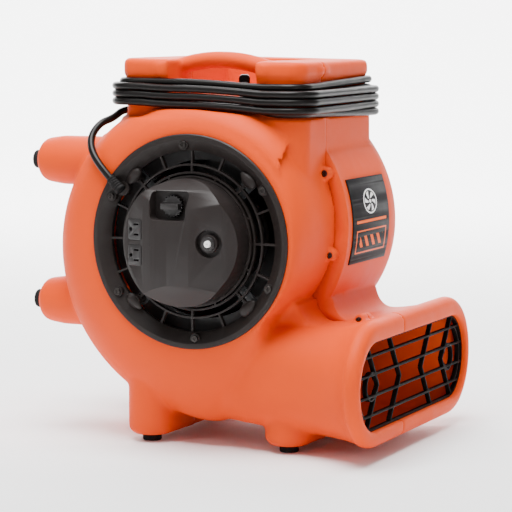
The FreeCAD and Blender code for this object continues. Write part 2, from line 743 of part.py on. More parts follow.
def fan_wheel():
    """Blades between two end rings, with a centre plate carried by the hub."""
    ring = 4
    parts = [tube_y(d.wheel_radius, d.wheel_eye - 2, d.wheel_near, d.wheel_near + ring),
             tube_y(d.wheel_radius, d.wheel_eye - 2, d.wheel_far - ring, d.wheel_far),
             tube_y(d.wheel_radius, d.hub_radius, 6, 6 + ring)]
    blade = blade_face(d.wheel_near + ring).extrude(Vector(0, d.wheel_far - d.wheel_near - 2 * ring, 0))
    centre = Vector(d.fan_x, 0, d.fan_z)
    for i in range(int(d.blade_count)):
        turned = blade.copy()
        turned.rotate(centre, ALONG_Y, 360 * i / d.blade_count)
        parts.append(turned)
    return parts[0].fuse(parts[1:])


# ---- Outlet grille --------------------------------------------------------------------------

GRILLE_BARS = (37, 14, -12.5, -35.5)   # heights of the four long bars about the opening's middle
ZIGZAG_STEP = 75
ZIGZAG_LEAN = 35
END_ARCS = ((17, 135), (44, 133))      # radius and centre of the arcs at each end


def zigzag(y_tip, toward, x0):
    """One zigzag upright: two slanting bars that meet at a tip."""
    reach = d.outlet_round - 3
    foot_y = y_tip - toward * ZIGZAG_LEAN
    bars = []
    for up in (-1, 1):
        a = Vector(x0, y_tip, d.flange_mid - 2)
        b = Vector(x0, foot_y, d.flange_mid - 2 + up * reach)
        along = b - a
        bar = Part.makeBox(d.rib_depth, d.rib_width, along.Length, Vector(0, -d.rib_width / 2, 0))
        bar.rotate(Vector(0, 0, 0), ALONG_X, -math.degrees(math.atan2(along.y, along.z)))
        bar.translate(a)
        bars.append(bar)
    return bars


def outlet_grille():
    """A rim inside the outlet lip, four long bars, four zigzag uprights, arcs at the ends."""
    x0 = d.flange_front - 14
    x1 = x0 + d.rib_depth
    mid = d.flange_mid - 2
    limit = outlet_hole(x0 - 1, x1 + 1)
    rim = outlet_hole(x0, x1).cut(outlet_hole(x0 - 1, x1 + 1, -3))
    parts = [rim]
    half = d.rib_width / 2
    for height in GRILLE_BARS:
        parts.append(box_between((x0, -d.outlet_half, mid + height - half),
                                 (x1, d.outlet_half, mid + height + half)))
    for i, toward in ((-1.5, 1), (-0.5, 1), (0.5, -1), (1.5, -1)):
        parts += zigzag(i * ZIGZAG_STEP, toward, x0)
    for side in (-1, 1):
        start = side * (1.5 * ZIGZAG_STEP + 8)
        end = side * d.flange_half
        keep = box_between((x0, min(start, end), mid + GRILLE_BARS[3]),
                           (x1, max(start, end), mid + GRILLE_BARS[0]))
        for radius, centre in END_ARCS:
            hub = Vector(x0, side * centre, mid)
            ring = Part.makeCylinder(radius + half, d.rib_depth, hub, ALONG_X)
            ring = ring.cut(Part.makeCylinder(radius - half, d.rib_depth, hub, ALONG_X))
            parts.append(ring.common(keep))
    return fuse_all([p.common(limit) for p in parts])


# ---- Cord -----------------------------------------------------------------------------------

GLAND_LENGTH = 21
CORD_ROUTE = [(-99, -161.5, 338), (-121, -160, 359), (-141, -140, 384), (-136, -122, 405),
              (-125, -103, 411), (-121, -82, 423)]


def cord_start():
    """Where the cord leaves its strain relief, and the way it goes."""
    first, second = (Vector(*p) for p in CORD_ROUTE[:2])
    return first, (second - first).normalize()


def rounded_path(points, ratio=0.45):
    """Straight runs joined by tangent arcs; each radius comes from the shorter run beside it."""
    pts = [Vector(*p) for p in points]
    edges = []
    start = pts[0]
    for before, corner, after in zip(pts, pts[1:], pts[2:]):
        way_in = (corner - before).normalize()
        way_out = (after - corner).normalize()
        half_turn = way_in.getAngle(way_out) / 2
        shorter = min((corner - before).Length, (after - corner).Length)
        cut = ratio * shorter
        radius = cut / math.tan(half_turn)
        bisector = (way_out - way_in).normalize()
        middle = corner + bisector * (radius / math.cos(half_turn) - radius)
        a, b = corner - way_in * cut, corner + way_out * cut
        edges.append(Part.makeLine(start, a))
        edges.append(Part.Arc(a, middle, b).toShape())
        start = b
        print("cord turn", round(2 * math.degrees(half_turn)), "deg, radius", round(radius), "mm")
    edges.append(Part.makeLine(start, pts[-1]))
    return Part.Wire(edges)


def power_cord():
    path = rounded_path(CORD_ROUTE)
    circle = Part.Circle(*cord_start(), d.cord_diameter / 2)
    section = Part.Wire([circle.toShape()])
    tube = path.makePipeShell([section], True, True)
    expected = math.pi * d.cord_diameter ** 2 / 4 * path.Length
    print("cord tube length", round(path.Length), "mm, volume ratio", round(tube.Volume / expected, 3))
    return tube


def cord_coil():
    """Outer shape of the cord wound round the neck in two layers."""
    gap = 0.4
    outer = head_block(d.coil_thick - d.groove_depth, d.coil_low, d.coil_high)
    edges = [e for e in outer.Edges if e.BoundBox.ZLength < 0.1]
    outer = outer.makeFillet(7, edges)
    return outer.cut(head_block(gap - d.groove_depth, d.coil_low - 1, d.coil_high + 1))


def cord_gland():
    """The tapered strain relief where the cord leaves the panel's rim."""
    start, way = cord_start()
    return Part.makeCone(7.5, 6, GLAND_LENGTH, start - way * GLAND_LENGTH, way)


PLUG_START = (50.6, -85.4, 452.5)       # where the cord comes into the plug's tail, in the hand pocket
PLUG_TURN = 24.7
PLUG_TAIL = 20
PLUG_BODY = (14, 26, 29)


def plug_place():
    return Placement(Vector(*PLUG_START), Rotation(ALONG_Z, PLUG_TURN))


def plug_shape():
    """A moulded plug on its edge in the hand pocket: a tapered tail and a rounded body, along +Y."""
    width, length, height = PLUG_BODY
    tail = Part.makeCone(4.75, 6.6, PLUG_TAIL, Vector(0, 0, 0), ALONG_Y)
    body = Part.makeBox(width, length, height, Vector(-width / 2, PLUG_TAIL, -height / 2))
    long_edges = [e for e in body.Edges if e.BoundBox.YLength > length - 1]
    return tail.fuse(body.makeFillet(5, long_edges))


def plug_blades():
    """Two flat blades and a round earth pin."""
    front = PLUG_TAIL + PLUG_BODY[1]
    blades = [Part.makeBox(6.4, 17, 1.5, Vector(-1.4, front, side * 6.35 - 0.75)) for side in (-1, 1)]
    pin = Part.makeCylinder(2.4, 19, Vector(-4.2, front, 0), ALONG_Y)
    return Part.makeCompound(blades + [pin])


# ---- Sub-parts ------------------------------------------------------------------------------

def cell(alias):
    return f"Dimensions.{alias}"


def axis_part(label, kind, sizes, y):
    """A primitive centred on the fan axis, starting at y."""
    place = Placement(Vector(d.fan_x, y, d.fan_z), TO_Y)
    return add_primitive(kind, label, sizes, place)


def ring_part(label, outer, inner, y, length):
    """A ring on the fan axis; its radii and length are sheet expressions."""
    body = axis_part(label + "_blank", "Part::Cylinder", {"Radius": outer, "Height": length}, y)
    bore = axis_part(label + "_bore", "Part::Cylinder", {"Radius": inner, "Height": length}, y)
    return add_cut(label, body, bore)


def sketch_on(body, plane_role, name):
    """A sketch on one of a body's own origin planes."""
    sketch = body.newObject("Sketcher::SketchObject", name)
    plane = [f for f in body.Origin.OriginFeatures if f.Role == plane_role][0]
    sketch.AttachmentSupport = [(plane, "")]
    sketch.MapMode = "FlatFace"
    return sketch


def circle_in(sketch, radius, expression, x=0.0, y=0.0):
    index = sketch.addGeometry(Part.Circle(Vector(x, y, 0), ALONG_Z, radius), False)
    if x == 0 and y == 0:
        sketch.addConstraint(Sketcher.Constraint("Coincident", index, 3, -1, 1))
    name = sketch.addConstraint(Sketcher.Constraint("Radius", index, radius))
    sketch.setExpression(f"Constraints[{name}]", expression)
    return index


def shells_and_fasteners():
    near = shell(d.parting_y, -d.body_half, d.near_start, d.near_growth)
    far = shell(d.parting_y, d.body_half, d.far_start, d.far_growth)
    near = drill_feet(add_screw_posts(fastened(near, -1), -1))
    far = drill_feet(add_screw_posts(fastened(far, 1), 1)).cut(label_plate())
    add_feature("near_shell", near)
    add_feature("far_shell", far)
    add_feature("label_plate", label_plate())
    add_feature("shell_screws", Part.makeCompound([shell_screw(x, z) for x, z in shell_screw_places()]))
    add_feature("intake_panel", intake_panel())
    add_feature("far_panel", far_panel())
    add_feature("intake_panel_screws", Part.makeCompound(panel_screws(-1)))
    add_feature("far_panel_screws", Part.makeCompound(panel_screws(1)))
    add_feature("outlet_grille", outlet_grille())


def feet():
    for label, places, height in (("floor_feet", bottom_feet_places(), d.foot_height),
                                  ("back_feet", back_feet_places(), d.back_foot_high)):
        add_feature(label, Part.makeCompound([rubber_foot(p, way, height) for p, way in places]))
        add_feature(label + "_screws", Part.makeCompound([foot_screw(p, way) for p, way in places]))


def motor():
    near_cap_y, far_cap_y = -146, -60
    ring_part("motor_case", cell("motor_radius"), cell("motor_radius") + " - 2.5", -134, "74")
    ring_part("stator", cell("motor_radius") + " - 2.5", cell("stator_bore"), -126, "56")
    ring_part("rotor", f"{cell('stator_bore')} - {cell('air_gap')}", cell("shaft_radius"), -126, "56")
    for label, y, bearing_y in (("near_bearing", near_cap_y, -142), ("far_bearing", far_cap_y, -58)):
        ring_part(label, cell("bearing_radius"), f"{cell('shaft_radius')} + {cell('running_gap')}",
                  bearing_y, "8")
    sizes = {"Radius": cell("shaft_radius"), "Height": "172"}
    shaft = axis_part("motor_shaft", "Part::Cylinder", sizes, -144)
    shaft.Label = "motor_shaft"
    NODES.append(shaft)
    for label, y, bearing_y in (("near_end_cap", near_cap_y, -142), ("far_end_cap", far_cap_y, -58)):
        blank = axis_part(label + "_blank", "Part::Cylinder",
                          {"Radius": cell("motor_radius"), "Height": "12"}, y)
        seat = axis_part(label + "_seat", "Part::Cylinder",
                         {"Radius": cell("bearing_radius"), "Height": "8"}, bearing_y)
        bore = axis_part(label + "_bore", "Part::Cylinder",
                         {"Radius": cell("shaft_radius") + " + 2", "Height": "12"}, y)
        tools = doc.addObject("Part::MultiFuse", label + "_tools")
        tools.Shapes = [seat, bore]
        add_cut(label, blank, tools)


def motor_bracket():
    """A four-armed steel bracket that ties the motor to the intake panel's posts."""
    y0, y1 = d.bracket_y, d.bracket_y + 3
    arms = [tube_y(d.motor_radius + 6, d.motor_radius, y0, y1 + 8)]
    for i in range(4):
        arms.append(radial_bar(d.motor_radius + 1, 114, 45 + 90 * i, 16, y0, y1))
    bracket = fuse_all(arms)
    for i in range(4):
        p = on_axis(108, 45 + 90 * i)
        bracket = bracket.cut(cylinder_y(2.1, y0 - 1, y1 + 1, p.x, p.z))
    screws = []
    for i in range(4):
        p = on_axis(108, 45 + 90 * i)
        head = cylinder_y(4.2, y1, y1 + 2.6, p.x, p.z)
        screws.append(head.fuse(cylinder_y(2.1, y0 - 8, y1, p.x, p.z)))
    add_feature("motor_bracket", bracket)
    add_feature("bracket_screws", Part.makeCompound(screws))


def wheel_and_hub():
    add_feature("fan_wheel", fan_wheel())
    hub = tube_y(d.hub_radius, d.shaft_radius, -4, 26)
    screw_hole = Part.makeCylinder(2.5, d.hub_radius, Vector(d.fan_x, 19, d.fan_z), ALONG_Z)
    add_feature("fan_hub", hub.cut(screw_hole))
    add_feature("hub_screw", Part.makeCylinder(2.5, d.hub_radius - d.shaft_radius,
                                               Vector(d.fan_x, 19, d.fan_z + d.shaft_radius), ALONG_Z))


def controls():
    bx, bz = breaker_place()
    front = d.cover_front
    add_feature("motor_cover", motor_cover())
    plate = cylinder_y(d.cover_radius, d.cover_back, d.cover_back + 1.5)
    add_feature("cover_plate", plate)
    for name, z in zip(("upper_outlet", "lower_outlet"), outlet_heights()):
        add_feature(name, *receptacle(z))
    bore = d.button_radius + 0.3
    add_feature("breaker_collar", fuse_all([tube_y(8.6, bore, front + 0.5, front + 3, bx, bz),
                                            tube_y(6.2, bore, front + 3, front + 14, bx, bz)]))
    case = box_between((bx - 13, front + 14, bz - 17), (bx + 13, front + 38, bz + 17))
    add_feature("breaker_case", case.cut(cylinder_y(bore, front + 13, front + 24, bx, bz)))
    button = cylinder_y(d.button_radius, front - 2.2, front + 14, bx, bz)
    dimple = cylinder_y(1, front - 3, front - 1.4, bx, bz)
    edge = [e for e in button.Edges if e.BoundBox.YMax < front - 2]
    add_feature("reset_button", button.makeFillet(0.8, edge).cut(dimple))
    kx, kz = d.fan_x - 10, d.fan_z + 46
    switch = box_between((kx - 15, front + 24.5, kz - 15), (kx + 15, front + 42, kz + 15))
    post_hole = cylinder_y(3.05, front + 24, front + 36, kx, kz)
    add_feature("speed_switch", switch.cut(post_hole))
    can = Part.makeCylinder(12, 52, Vector(d.fan_x - 24, front + 33, d.fan_z - 42), ALONG_X)
    add_feature("capacitor", can)
    add_feature("terminal_block", box_between((d.fan_x + 6, front + 36, d.fan_z - 4),
                                              (d.fan_x + 26, front + 48, d.fan_z + 22)))


def speed_knob():
    """A fluted knob with a grip bar and a stem, turned to point out of the pocket."""
    body = doc.addObject("PartDesign::Body", "SpeedKnobBody")
    body.Label = "speed_knob"
    disc_sketch = sketch_on(body, "XY_Plane", "KnobDisc")
    circle_in(disc_sketch, d.knob_radius, cell("knob_radius"))
    disc = body.newObject("PartDesign::Pad", "KnobSkirt")
    disc.Profile = disc_sketch
    disc.setExpression("Length", cell("knob_height") + " / 3")
    stem_sketch = sketch_on(body, "XY_Plane", "KnobStem")
    circle_in(stem_sketch, 3.0, "3")
    stem = body.newObject("PartDesign::Pad", "KnobShaft")
    stem.Profile = stem_sketch
    stem.Length = 14
    stem.Reversed = True
    grip_sketch = sketch_on(body, "XY_Plane", "KnobGrip")
    corners = [(-12, -3.5), (12, -3.5), (12, 3.5), (-12, 3.5)]
    for (x0, y0), (x1, y1) in zip(corners, corners[1:] + corners[:1]):
        grip_sketch.addGeometry(Part.LineSegment(Vector(x0, y0, 0), Vector(x1, y1, 0)), False)
    grip = body.newObject("PartDesign::Pad", "KnobBar")
    grip.Profile = grip_sketch
    grip.setExpression("Length", cell("knob_height"))
    flute_sketch = sketch_on(body, "XY_Plane", "KnobFlute")
    circle_in(flute_sketch, 1.6, "1.6", d.knob_radius, 0)
    flute = body.newObject("PartDesign::Pocket", "KnobFluteCut")
    flute.Profile = flute_sketch
    flute.Reversed = True
    flute.setExpression("Length", cell("knob_height") + " / 2")
    doc.recompute()
    flutes = body.newObject("PartDesign::PolarPattern", "KnobFlutes")
    flutes.Originals = [flute]
    flutes.Axis = (flute_sketch, ["N_Axis"])
    flutes.Angle = 360
    flutes.Occurrences = 20
    body.Tip = flutes
    kx, kz = d.fan_x - 10, d.fan_z + 46
    base_y = d.cover_front + 21.2
    body.Placement = Placement(Vector(kx, base_y, kz), Rotation(ALONG_X, 90))
    NODES.append(body)


def cord_parts():
    add_feature("power_cord", power_cord())
    add_feature("cord_coil", cord_coil())
    add_feature("cord_gland", cord_gland())
    add_feature("plug_body", plug_shape(), plug_place())
    add_feature("plug_blades", plug_blades(), plug_place())


def check_document():
    """Stops on any object that failed, and on any empty or invalid shape."""
    for item in doc.Objects:
        if "Invalid" in item.State or "Error" in item.State:
            raise RuntimeError(f"{item.Name} did not compute: {item.State}")
    for node in NODES:
        if node.Shape.isNull() or not node.Shape.isValid() or not node.Shape.Solids:
            raise RuntimeError(f"{node.Label} has no valid shape")


shells_and_fasteners()
feet()
motor()
motor_bracket()
wheel_and_hub()
controls()
speed_knob()
cord_parts()
doc.recompute()
check_document()
os.makedirs("parts", exist_ok=True)
for node in NODES:
    node.Shape.exportStep(f"parts/{node.Label}.step")
    print(node.Label, len(node.Shape.Solids), "solids,", round(node.Shape.Volume / 1000, 1), "cm3")
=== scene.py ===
import json
import math

import bmesh
import bpy
import numpy as np
from mathutils import Matrix, Vector


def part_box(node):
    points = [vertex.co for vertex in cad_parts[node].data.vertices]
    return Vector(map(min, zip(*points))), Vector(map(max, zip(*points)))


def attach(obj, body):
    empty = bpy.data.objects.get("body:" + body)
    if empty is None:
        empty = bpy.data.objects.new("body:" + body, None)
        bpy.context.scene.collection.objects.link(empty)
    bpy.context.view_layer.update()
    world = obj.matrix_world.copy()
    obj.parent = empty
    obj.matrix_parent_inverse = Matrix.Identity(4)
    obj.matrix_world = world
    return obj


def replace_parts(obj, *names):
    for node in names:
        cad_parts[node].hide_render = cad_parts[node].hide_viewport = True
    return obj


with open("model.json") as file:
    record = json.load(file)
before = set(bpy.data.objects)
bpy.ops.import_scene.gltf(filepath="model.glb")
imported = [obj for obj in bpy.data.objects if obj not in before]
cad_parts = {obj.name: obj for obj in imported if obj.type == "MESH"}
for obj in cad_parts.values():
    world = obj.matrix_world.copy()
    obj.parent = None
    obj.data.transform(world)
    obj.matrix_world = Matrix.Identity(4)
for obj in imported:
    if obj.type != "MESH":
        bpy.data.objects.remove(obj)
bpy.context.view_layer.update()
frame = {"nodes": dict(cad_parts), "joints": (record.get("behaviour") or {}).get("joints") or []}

NODES = frame["nodes"]
JOINTS = {joint["name"]: joint for joint in frame["joints"]}
FAN_AXIS = Vector(JOINTS["fan_spin"]["pos_m"])
COIL_LOW, COIL_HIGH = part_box("cord_coil")
VIEW_TURN = 24.7      # degrees that the camera is turned about the vertical
PARTING_Y = -0.047    # plane where the two shells meet


# ---- Camera, floor and light ----------------------------------------------------------------

def camera():
    data = bpy.data.cameras.new("camera")
    data.sensor_width = 36
    data.lens = 158.2
    data.clip_end = 60
    obj = bpy.data.objects.new("camera", data)
    obj.location = (1.2422, -2.6413, 0.541)
    obj.rotation_euler = (math.radians(83.9), 0, math.radians(VIEW_TURN))
    bpy.context.scene.collection.objects.link(obj)
    bpy.context.scene.camera = obj


def softbox(name, place, target, width, height, watts):
    """A rectangular lamp, aimed at its target."""
    data = bpy.data.lights.new(name, "AREA")
    data.shape = "RECTANGLE"
    data.size, data.size_y = width, height
    data.energy = watts
    obj = bpy.data.objects.new(name, data)
    obj.location = place
    obj.rotation_euler = (Vector(target) - Vector(place)).to_track_quat("-Z", "Y").to_euler()
    bpy.context.scene.collection.objects.link(obj)


def studio():
    world = bpy.data.worlds.new("studio")
    world.use_nodes = True
    sky = world.node_tree.nodes["Background"]
    sky.inputs["Color"].default_value = (1, 1, 1, 1)
    sky.inputs["Strength"].default_value = 0.36
    bpy.context.scene.world = world

    paper_sweep()
    softbox("top_box", (0.0, -0.5, 2.3), (0, 0, 0), 1.5, 1.5, 140)
    softbox("front_box", (-1.6, -2.2, 1.4), (0, 0, 0.3), 0.8, 1.2, 9)
    softbox("right_box", (2.6, -1.4, 1.0), (0.1, 0, 0.2), 0.9, 1.2, 10)
    for side in (-1.3, 1.3):
        place = (-1.1 + side, 2.6 + 0.4 * side, 3.2)
        target = (-1.9 + side, 4.4 + 0.4 * side, 0.6)
        softbox("backdrop_box", place, target, 2.4, 1.0, 420)


def paper_sweep():
    """A roll of pale paper: flat under the machine, then curving up behind it."""
    front, back, bend, top, half_width = -9.0, 3.6, 1.2, 6.0, 8.0
    profile = [(front, 0.0), (back, 0.0)]
    profile += [(back + bend * math.sin(math.radians(a)), bend - bend * math.cos(math.radians(a)))
                for a in range(6, 91, 6)]
    profile.append((back + bend, top))
    work = bmesh.new()
    rows = [[work.verts.new((x, y, z)) for x in (-half_width, half_width)] for y, z in profile]
    for first, second in zip(rows, rows[1:]):
        work.faces.new((first[0], first[1], second[1], second[0]))
    mesh = bpy.data.meshes.new("paper_sweep")
    work.to_mesh(mesh)
    work.free()
    for face in mesh.polygons:
        face.use_smooth = True
    mesh.materials.append(finish("sweep_paper", (0.93, 0.93, 0.93), 0.8, grain=300, depth=0.02,
                                 mottle=0.005, gloss=0.1))
    obj = bpy.data.objects.new("paper_sweep", mesh)
    obj.rotation_euler = (0, 0, math.radians(VIEW_TURN))
    bpy.context.scene.collection.objects.link(obj)
    return obj


# ---- Finishes -------------------------------------------------------------------------------

def wire(tree, output, target):
    tree.links.new(output, target)


def noise(tree, vector, scale, detail=3.0):
    node = tree.nodes.new("ShaderNodeTexNoise")
    node.inputs["Scale"].default_value = scale
    node.inputs["Detail"].default_value = detail
    wire(tree, vector, node.inputs["Vector"])
    return node.outputs["Fac"]


def spread(tree, value, low, high):
    """Stretches the middle of a noise over the range from low to high."""
    node = tree.nodes.new("ShaderNodeMapRange")
    node.inputs["From Min"].default_value = 0.3
    node.inputs["From Max"].default_value = 0.7
    node.inputs["To Min"].default_value = low
    node.inputs["To Max"].default_value = high
    wire(tree, value, node.inputs["Value"])
    return node.outputs["Result"]


def mix(tree, factor, first, second):
    """Mixes two colours; each is a socket or a plain colour."""
    node = tree.nodes.new("ShaderNodeMix")
    node.data_type = "RGBA"
    wire(tree, factor, node.inputs["Factor"])
    for socket, value in ((node.inputs[6], first), (node.inputs[7], second)):
        if isinstance(value, tuple):
            socket.default_value = (*value, 1)
        else:
            wire(tree, value, socket)
    return node.outputs[2]


def math_node(tree, kind, first, second=0.0):
    node = tree.nodes.new("ShaderNodeMath")
    node.operation = kind
    for socket, value in zip(node.inputs, (first, second)):
        if isinstance(value, (int, float)):
            socket.default_value = value
        else:
            wire(tree, value, socket)
    return node.outputs[0]


def finish(name, colour, rough, grain=1500, depth=0.05, mottle=0.04, metal=0.0, gloss=0.5):
    """A material with a fine grain in its surface and slight changes of tone and gloss."""
    made = bpy.data.materials.new(name)
    made.use_nodes = True
    tree = made.node_tree
    shader = tree.nodes["Principled BSDF"]
    shader.inputs["Metallic"].default_value = metal
    shader.inputs["Specular IOR Level"].default_value = gloss
    place = tree.nodes.new("ShaderNodeTexCoord").outputs["Object"]
    dark = tuple(c * (1 - mottle) for c in colour)
    light = tuple(min(1.0, c * (1 + mottle)) for c in colour)
    tone = spread(tree, noise(tree, place, 14), 0, 1)
    wire(tree, mix(tree, tone, dark, light), shader.inputs["Base Color"])
    gloss_noise = noise(tree, place, 45)
    wire(tree, spread(tree, gloss_noise, rough - 0.04, rough + 0.04), shader.inputs["Roughness"])
    bump = tree.nodes.new("ShaderNodeBump")
    bump.inputs["Strength"].default_value = depth
    bump.inputs["Distance"].default_value = 0.0003
    wire(tree, noise(tree, place, grain, 2.0), bump.inputs["Height"])
    wire(tree, bump.outputs["Normal"], shader.inputs["Normal"])
    return made


def between(tree, value, low, high):
    """1 where low < value < high, else 0."""
    above = math_node(tree, "GREATER_THAN", value, low)
    return math_node(tree, "MULTIPLY", above, math_node(tree, "LESS_THAN", value, high))


def both(tree, first, second):
    return math_node(tree, "MULTIPLY", first, second)


def label_finish():
    """Dark printed film: a wheel sign, an orange stripe and an outlined block, with no lettering."""
    made = finish("label_print", (0.010, 0.009, 0.010), 0.55, grain=900, depth=0.02, gloss=0.1)
    tree = made.node_tree
    shader = tree.nodes["Principled BSDF"]
    split = tree.nodes.new("ShaderNodeSeparateXYZ")
    wire(tree, tree.nodes["Texture Coordinate"].outputs["Object"], split.inputs[0])
    x, y, z = split.outputs
    middle_y, middle_angle, scroll_radius, sign_height = 0.031, math.radians(6.5), 0.238, 0.033
    along = math_node(tree, "SUBTRACT", y, middle_y)
    rise = math_node(tree, "ARCTAN2", math_node(tree, "SUBTRACT", z, FAN_AXIS.z),
                     math_node(tree, "SUBTRACT", x, FAN_AXIS.x))
    up = math_node(tree, "MULTIPLY", math_node(tree, "SUBTRACT", rise, middle_angle), scroll_radius)

    sign_up = math_node(tree, "SUBTRACT", up, sign_height)
    squares = math_node(tree, "ADD", both(tree, along, along), both(tree, sign_up, sign_up))
    out = math_node(tree, "SQRT", squares)
    turn = math_node(tree, "ARCTAN2", sign_up, along)
    six_blades = math_node(tree, "MULTIPLY", turn, 6.0)
    sweep = math_node(tree, "ADD", six_blades, math_node(tree, "MULTIPLY", out, 160))
    blades = both(tree, math_node(tree, "GREATER_THAN", math_node(tree, "SINE", sweep), 0.1),
                  between(tree, out, 0.006, 0.0175))
    ring = between(tree, out, 0.0195, 0.0222)
    hub = math_node(tree, "LESS_THAN", out, 0.0035)
    sign = math_node(tree, "MAXIMUM", math_node(tree, "MAXIMUM", blades, ring), hub)

    stripe = both(tree, between(tree, up, -0.0035, 0.0015), between(tree, along, -0.05, 0.05))
    outer = both(tree, between(tree, up, -0.058, -0.016), between(tree, along, -0.05, 0.05))
    inner = both(tree, between(tree, up, -0.0555, -0.0185), between(tree, along, -0.0475, 0.0475))
    frame_line = math_node(tree, "SUBTRACT", outer, inner)
    leaning = math_node(tree, "ADD", along, math_node(tree, "MULTIPLY", up, 0.6))
    slant = math_node(tree, "FRACT", math_node(tree, "MULTIPLY", leaning, 48))
    bar_area = both(tree, between(tree, up, -0.047, -0.027), between(tree, along, -0.038, 0.038))
    bars = both(tree, math_node(tree, "LESS_THAN", slant, 0.42), bar_area)
    orange = math_node(tree, "MAXIMUM", math_node(tree, "MAXIMUM", stripe, frame_line), bars)

    base = shader.inputs["Base Color"].links[0].from_socket
    with_orange = mix(tree, orange, base, (0.9, 0.14, 0.012))
    wire(tree, mix(tree, sign, with_orange, (0.86, 0.86, 0.86)), shader.inputs["Base Color"])
    return made


def rings_in(made, scale, depth):
    """Adds turned or wound rings about the fan axis to a finish."""
    tree = made.node_tree
    split = tree.nodes.new("ShaderNodeSeparateXYZ")
    wire(tree, tree.nodes["Texture Coordinate"].outputs["Object"], split.inputs[0])
    waves = math_node(tree, "SINE", math_node(tree, "MULTIPLY", split.outputs[1], scale))
    bump = tree.nodes.new("ShaderNodeBump")
    bump.inputs["Strength"].default_value = depth
    bump.inputs["Distance"].default_value = 0.0004
    wire(tree, waves, bump.inputs["Height"])
    wire(tree, tree.nodes["Bump"].outputs["Normal"], bump.inputs["Normal"])
    wire(tree, bump.outputs["Normal"], tree.nodes["Principled BSDF"].inputs["Normal"])
    return made


ORANGE = finish("orange_shell", (0.70, 0.058, 0.0004), 0.55, grain=1300, depth=0.10, mottle=0.02, gloss=0.12)
BLACK = finish("black_panel", (0.013, 0.009, 0.008), 0.5, grain=1500, depth=0.16, mottle=0.08, gloss=0.25)
COVER = finish("black_cover", (0.015, 0.0112, 0.0105), 0.46, grain=1500, depth=0.16, mottle=0.06, gloss=0.25)
GRILLE = finish("black_grille", (0.0055, 0.0040, 0.0036), 0.6, grain=1500, depth=0.12, mottle=0.06,
                gloss=0.05)
INSERT = finish("black_insert", (0.009, 0.007, 0.007), 0.42, grain=1800, depth=0.08, mottle=0.06)
CORD = finish("cord_jacket", (0.004, 0.0029, 0.0026), 0.34, grain=500, depth=0.06, mottle=0.08, gloss=0.18)
RUBBER = finish("rubber", (0.007, 0.006, 0.006), 0.75, grain=900, depth=0.3, mottle=0.1, gloss=0.2)
STEEL = finish("zinc_steel", (0.56, 0.55, 0.53), 0.34, grain=2500, depth=0.08, mottle=0.06, metal=1.0)
DARK_STEEL = finish("dark_steel", (0.045, 0.04, 0.038), 0.36, grain=2200, depth=0.08, mottle=0.1, metal=1.0)
ALUMINIUM = finish("cast_aluminium", (0.50, 0.50, 0.50), 0.5, grain=900, depth=0.25, mottle=0.06, metal=1.0)
CASE = finish("painted_case", (0.05, 0.05, 0.052), 0.45, grain=1100, depth=0.2, mottle=0.06)
LAMINATE = rings_in(finish("stator_iron", (0.22, 0.21, 0.20), 0.5, grain=900, depth=0.2, metal=0.8),
                    6000, 0.5)
WHEEL = finish("wheel_plastic", (0.020, 0.018, 0.018), 0.5, grain=1300, depth=0.14, mottle=0.08)
WHITE = finish("button_white", (0.82, 0.82, 0.80), 0.35, grain=1500, depth=0.04, mottle=0.02)
NYLON = finish("nylon", (0.62, 0.59, 0.50), 0.45, grain=1500, depth=0.06, mottle=0.03)
BRASS = finish("brass", (0.78, 0.56, 0.24), 0.28, grain=2500, depth=0.05, mottle=0.05, metal=1.0)
LABEL = label_finish()

FINISHES = {
    "label_plate": LABEL, "shell_screws": DARK_STEEL, "intake_panel": BLACK, "far_panel": BLACK,
    "intake_panel_screws": DARK_STEEL, "far_panel_screws": DARK_STEEL, "outlet_grille": GRILLE,
    "floor_feet": RUBBER, "floor_feet_screws": STEEL, "back_feet": RUBBER, "back_feet_screws": STEEL,
    "motor_case": CASE, "stator": LAMINATE, "rotor": ALUMINIUM, "near_bearing": STEEL,
    "far_bearing": STEEL, "motor_shaft": STEEL, "near_end_cap": ALUMINIUM, "far_end_cap": ALUMINIUM,
    "motor_bracket": CASE, "bracket_screws": STEEL, "fan_wheel": WHEEL, "fan_hub": WHEEL,
    "hub_screw": STEEL, "motor_cover": COVER, "cover_plate": COVER, "upper_outlet": INSERT,
    "lower_outlet": INSERT, "breaker_collar": INSERT, "breaker_case": INSERT, "reset_button": WHITE,
    "speed_switch": INSERT, "capacitor": ALUMINIUM, "terminal_block": NYLON, "speed_knob": INSERT,
    "cord_gland": RUBBER, "plug_body": CORD, "plug_blades": BRASS,
}
BODIES = {
    "rotor": "fan", "motor_shaft": "fan", "fan_wheel": "fan", "fan_hub": "fan", "hub_screw": "fan",
    "speed_knob": "speed_knob", "reset_button": "reset_button",
}
ROUNDED = {
    "intake_panel": 0.0007, "far_panel": 0.0007, "outlet_grille": 0.0009, "motor_cover": 0.0009,
    "cover_plate": 0.0006, "upper_outlet": 0.0003, "lower_outlet": 0.0003, "breaker_collar": 0.0004,
    "reset_button": 0.0004, "speed_knob": 0.0006, "floor_feet": 0.0008, "back_feet": 0.0008,
    "plug_body": 0.0006, "plug_blades": 0.0003, "label_plate": 0.0002,
}


# ---- Pieces made from the CAD ---------------------------------------------------------------

def add_object(name, mesh, material, body="housing"):
    obj = bpy.data.objects.new(name, mesh)
    bpy.context.scene.collection.objects.link(obj)
    mesh.materials.clear()
    mesh.materials.append(material)
    for face in mesh.polygons:
        face.use_smooth = True
        face.material_index = 0
    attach(obj, body)
    return obj


def merged_mesh(node):
    """A copy of a CAD node's mesh with its split vertices joined and its flat faces whole."""
    mesh = NODES[node].data.copy()
    mesh.name = node + "_looks"
    work = bmesh.new()
    work.from_mesh(mesh)
    bmesh.ops.remove_doubles(work, verts=work.verts, dist=2e-6)
    bmesh.ops.dissolve_limit(work, angle_limit=math.radians(0.6), verts=work.verts, edges=work.edges)
    work.to_mesh(mesh)
    work.free()
    return mesh


